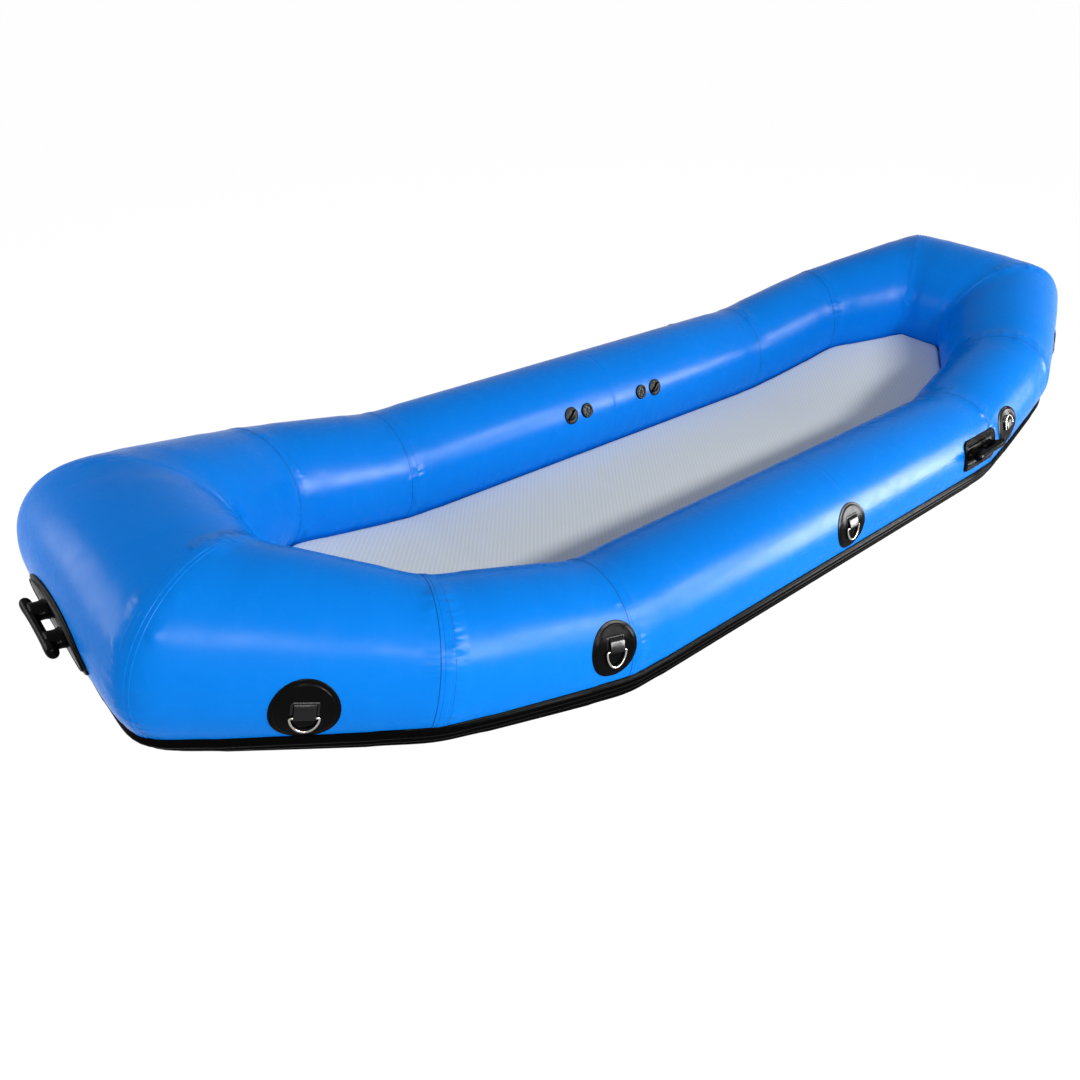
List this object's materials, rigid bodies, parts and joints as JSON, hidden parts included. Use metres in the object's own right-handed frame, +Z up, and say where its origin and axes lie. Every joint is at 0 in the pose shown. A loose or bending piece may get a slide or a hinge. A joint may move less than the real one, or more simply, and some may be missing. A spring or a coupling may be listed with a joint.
{
  "type": "whitewater raft",
  "caption": "Narrow inflatable whitewater raft: mitred tubes with raised ends round a drop-stitch floor, rubbing strake, lashing rings, grab handles and valves.",
  "frame": {"origin": "middle of the hull, on the ground under the wear skin", "axes": "+X towards the stern, -X towards the bow, -Y to port, +Z up"},
  "size_m": [3.9146, 1.4076, 0.6006],
  "materials": {
    "blue_coated_pvc": "semi-gloss, coated fabric",
    "black_reinforced_pvc": "satin, coated fabric",
    "black_moulded_rubber": "semi-gloss, moulded",
    "grey_floor_fabric": "matt, finely ribbed coated fabric",
    "black_moulded_nylon": "satin, moulded",
    "stainless_steel": "polished"
  },
  "bodies": {
    "hull": {"bow_handle": "black_moulded_rubber", "bow_relief_body": "black_moulded_nylon", "bow_relief_spring": "stainless_steel", "bow_tube": "blue_coated_pvc", "bow_valve_body": "black_moulded_nylon", "bow_valve_spring": "stainless_steel", "drop_stitch_floor": "grey_floor_fabric", "floor_valve_body": "black_moulded_nylon", "floor_valve_spring": "stainless_steel", "port_baffle": "blue_coated_pvc", "port_bow_corner_patch": "black_reinforced_pvc", "port_bow_corner_tube": "blue_coated_pvc", "port_bow_quarter_patch": "black_reinforced_pvc", "port_bow_quarter_tube": "blue_coated_pvc", "port_handle": "black_moulded_rubber", "port_mid_patch": "black_reinforced_pvc", "port_mid_tube": "blue_coated_pvc", "port_stern_corner_patch": "black_reinforced_pvc", "port_stern_corner_tube": "blue_coated_pvc", "port_stern_quarter_patch": "black_reinforced_pvc", "port_stern_quarter_tube": "blue_coated_pvc", "port_wear_skin": "black_reinforced_pvc", "rubbing_strake": "black_moulded_rubber", "starboard_baffle": "blue_coated_pvc", "starboard_bow_corner_patch": "black_reinforced_pvc", "starboard_bow_corner_tube": "blue_coated_pvc", "starboard_bow_quarter_patch": "black_reinforced_pvc", "starboard_bow_quarter_tube": "blue_coated_pvc", "starboard_handle": "black_moulded_rubber", "starboard_mid_patch": "black_reinforced_pvc", "starboard_mid_tube": "blue_coated_pvc", "starboard_stern_corner_patch": "black_reinforced_pvc", "starboard_stern_corner_tube": "blue_coated_pvc", "starboard_stern_quarter_patch": "black_reinforced_pvc", "starboard_stern_quarter_tube": "blue_coated_pvc", "starboard_wear_skin": "black_reinforced_pvc", "stern_handle": "black_moulded_rubber", "stern_relief_body": "black_moulded_nylon", "stern_relief_spring": "stainless_steel", "stern_tube": "blue_coated_pvc", "stern_valve_body": "black_moulded_nylon", "stern_valve_spring": "stainless_steel"},
    "port_bow_corner_ring": {"port_bow_corner_ring": "stainless_steel"},
    "port_bow_quarter_ring": {"port_bow_quarter_ring": "stainless_steel"},
    "port_mid_ring": {"port_mid_ring": "stainless_steel"},
    "port_stern_quarter_ring": {"port_stern_quarter_ring": "stainless_steel"},
    "port_stern_corner_ring": {"port_stern_corner_ring": "stainless_steel"},
    "starboard_bow_corner_ring": {"starboard_bow_corner_ring": "stainless_steel"},
    "starboard_bow_quarter_ring": {"starboard_bow_quarter_ring": "stainless_steel"},
    "starboard_mid_ring": {"starboard_mid_ring": "stainless_steel"},
    "starboard_stern_quarter_ring": {"starboard_stern_quarter_ring": "stainless_steel"},
    "starboard_stern_corner_ring": {"starboard_stern_corner_ring": "stainless_steel"},
    "bow_valve_cap": {"bow_valve_cap": "black_moulded_nylon"},
    "bow_valve_stem": {"bow_valve_stem": "black_moulded_nylon"},
    "bow_relief_poppet": {"bow_relief_poppet": "black_moulded_nylon"},
    "stern_valve_cap": {"stern_valve_cap": "black_moulded_nylon"},
    "stern_valve_stem": {"stern_valve_stem": "black_moulded_nylon"},
    "stern_relief_poppet": {"stern_relief_poppet": "black_moulded_nylon"},
    "floor_valve_cap": {"floor_valve_cap": "black_moulded_nylon"},
    "floor_valve_stem": {"floor_valve_stem": "black_moulded_nylon"}
  },
  "joints": [
    {"name": "port_bow_corner_ring_swing", "type": "hinge", "parent": "hull", "child": "port_bow_corner_ring", "pos_m": [-1.62747, -0.48511, 0.34008], "axis": [-0.8829, 0.4348, 0.1774], "range_deg": [0, 165]},
    {"name": "port_bow_quarter_ring_swing", "type": "hinge", "parent": "hull", "child": "port_bow_quarter_ring", "pos_m": [-0.94846, -0.6577, 0.26621], "axis": [-0.9682, 0.1405, 0.2071], "range_deg": [0, 165]},
    {"name": "port_mid_ring_swing", "type": "hinge", "parent": "hull", "child": "port_mid_ring", "pos_m": [0, -0.6706, 0.24434], "axis": [-1, 0, 0], "range_deg": [0, 165]},
    {"name": "port_stern_quarter_ring_swing", "type": "hinge", "parent": "hull", "child": "port_stern_quarter_ring", "pos_m": [0.97945, -0.65321, 0.27281], "axis": [0.9682, 0.1405, 0.2071], "range_deg": [0, 165]},
    {"name": "port_stern_corner_ring_swing", "type": "hinge", "parent": "hull", "child": "port_stern_corner_ring", "pos_m": [1.62747, -0.48511, 0.34008], "axis": [-0.8828, -0.4349, -0.1774], "range_deg": [0, 165]},
    {"name": "starboard_bow_corner_ring_swing", "type": "hinge", "parent": "hull", "child": "starboard_bow_corner_ring", "pos_m": [-1.62747, 0.48511, 0.34008], "axis": [0.8828, 0.4349, -0.1774], "range_deg": [0, 165]},
    {"name": "starboard_bow_quarter_ring_swing", "type": "hinge", "parent": "hull", "child": "starboard_bow_quarter_ring", "pos_m": [-0.94846, 0.6577, 0.26621], "axis": [0.9682, 0.1405, -0.2071], "range_deg": [0, 165]},
    {"name": "starboard_mid_ring_swing", "type": "hinge", "parent": "hull", "child": "starboard_mid_ring", "pos_m": [0, 0.6706, 0.24434], "axis": [1, 0, 0], "range_deg": [0, 165]},
    {"name": "starboard_stern_quarter_ring_swing", "type": "hinge", "parent": "hull", "child": "starboard_stern_quarter_ring", "pos_m": [0.97945, 0.65321, 0.27281], "axis": [0.9682, -0.1406, 0.2071], "range_deg": [0, 165]},
    {"name": "starboard_stern_corner_ring_swing", "type": "hinge", "parent": "hull", "child": "starboard_stern_corner_ring", "pos_m": [1.62747, 0.48511, 0.34008], "axis": [0.8829, -0.4348, 0.1774], "range_deg": [0, 165]},
    {"name": "bow_valve_cap_turn", "type": "hinge", "parent": "hull", "child": "bow_valve_cap", "pos_m": [-0.208, 0.3298, 0.25019], "axis": [0, -0.9222, 0.3866], "range_deg": [0, 90]},
    {"name": "bow_valve_stem_push", "type": "slide", "parent": "hull", "child": "bow_valve_stem", "axis": [0, 0.9222, -0.3866], "range_m": [0, 0.005], "stiffness_N_per_m": 600, "springref_m": -0.004, "deforming": ["bow_valve_spring"]},
    {"name": "bow_relief_poppet_lift", "type": "slide", "parent": "hull", "child": "bow_relief_poppet", "axis": [0, -0.9222, 0.3866], "range_m": [0, 0.0025], "stiffness_N_per_m": 800, "springref_m": -0.003, "deforming": ["bow_relief_spring"]},
    {"name": "stern_valve_cap_turn", "type": "hinge", "parent": "hull", "child": "stern_valve_cap", "pos_m": [0.208, 0.3298, 0.25019], "axis": [0, -0.9222, 0.3866], "range_deg": [0, 90]},
    {"name": "stern_valve_stem_push", "type": "slide", "parent": "hull", "child": "stern_valve_stem", "axis": [0, 0.9222, -0.3866], "range_m": [0, 0.005], "stiffness_N_per_m": 600, "springref_m": -0.004, "deforming": ["stern_valve_spring"]},
    {"name": "stern_relief_poppet_lift", "type": "slide", "parent": "hull", "child": "stern_relief_poppet", "axis": [0, -0.9222, 0.3866], "range_m": [0, 0.0025], "stiffness_N_per_m": 800, "springref_m": -0.003, "deforming": ["stern_relief_spring"]},
    {"name": "floor_valve_cap_turn", "type": "hinge", "parent": "hull", "child": "floor_valve_cap", "pos_m": [-0.7, -0.262, 0.08609], "axis": [0, 0, 1], "range_deg": [0, 90]},
    {"name": "floor_valve_stem_push", "type": "slide", "parent": "hull", "child": "floor_valve_stem", "axis": [0, 0, -1], "range_m": [0, 0.005], "stiffness_N_per_m": 600, "springref_m": -0.004, "deforming": ["floor_valve_spring"]}
  ]
}
